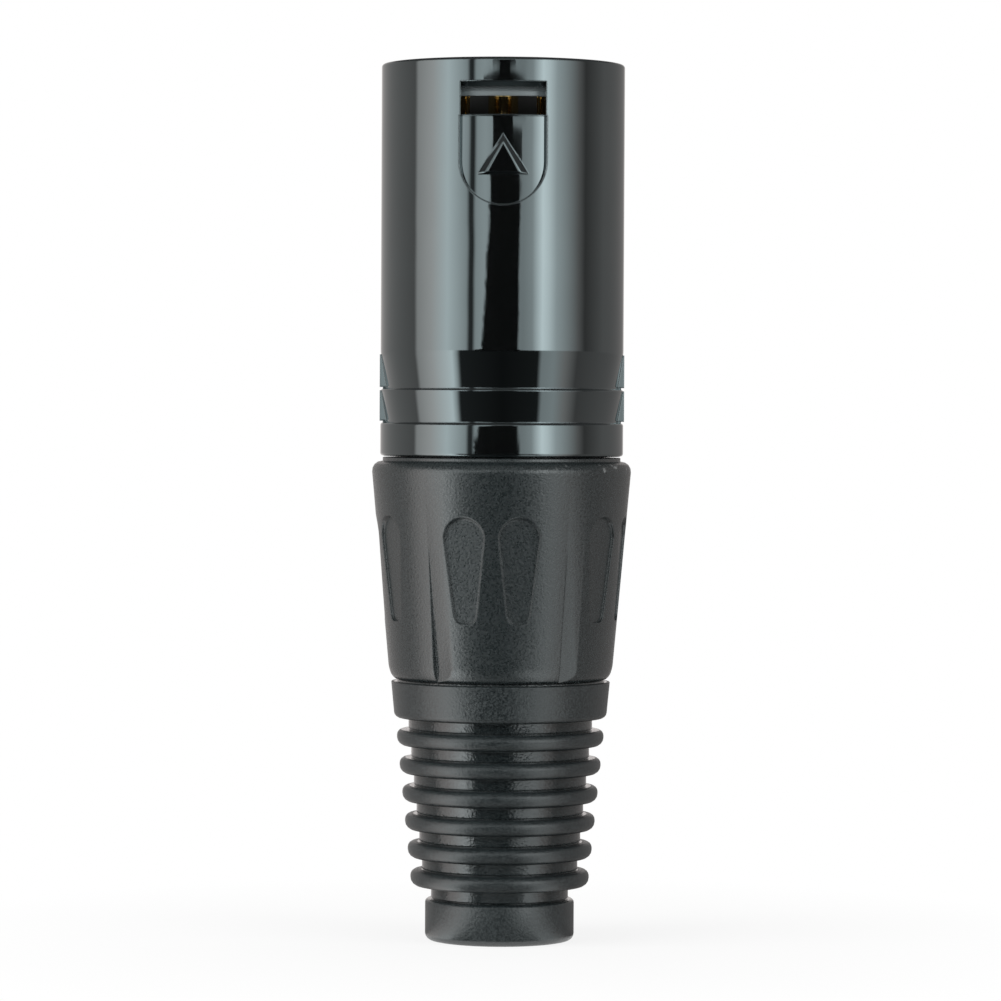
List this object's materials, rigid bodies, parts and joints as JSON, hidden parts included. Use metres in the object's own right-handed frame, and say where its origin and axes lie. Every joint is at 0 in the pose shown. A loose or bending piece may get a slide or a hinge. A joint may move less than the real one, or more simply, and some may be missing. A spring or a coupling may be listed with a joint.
{
  "type": "xlr plug",
  "caption": "Male cable plug with a black chrome barrel, latch window, round contacts, clamping chuck, lobed screw bushing and ribbed boot.",
  "frame": {"origin": "centre of the boot's end face, where the cable enters and the plug stands", "axes": "+Z along the plug's axis towards the mouth, -Y towards the latch window"},
  "size_m": [0.0202, 0.0202, 0.0684],
  "materials": {
    "black_chrome": "glossy black chrome on a zinc die casting",
    "insulator": "black moulded polyamide",
    "contact": "gold-plated turned brass",
    "spring": "bright spring bronze",
    "chuck": "natural acetal",
    "bushing": "black moulded plastic, fine grain",
    "boot": "soft black moulding, matt"
  },
  "bodies": {
    "shell_group": {"shell": "black_chrome", "insert": "insulator", "pin_1": "contact", "pin_2": "contact", "pin_3": "contact", "ground_spring": "spring"},
    "chuck_group": {"chuck": "chuck"},
    "bushing_group": {"bushing": "bushing", "boot": "boot"}
  },
  "joints": [
    {"name": "chuck_slide", "type": "slide", "parent": "shell_group", "child": "chuck_group", "axis": [0, 0, -1], "range_m": [0, 0.006]},
    {"name": "bushing_turn", "type": "hinge", "parent": "chuck_group", "child": "bushing_group", "pos_m": [0, 0, 0.03], "axis": [0, 0, -1], "range_deg": [0, 2160]}
  ],
  "couplings": [
    {"joint": "bushing_turn", "follows": "chuck_slide", "rad_per_m": 6283.1}
  ]
}
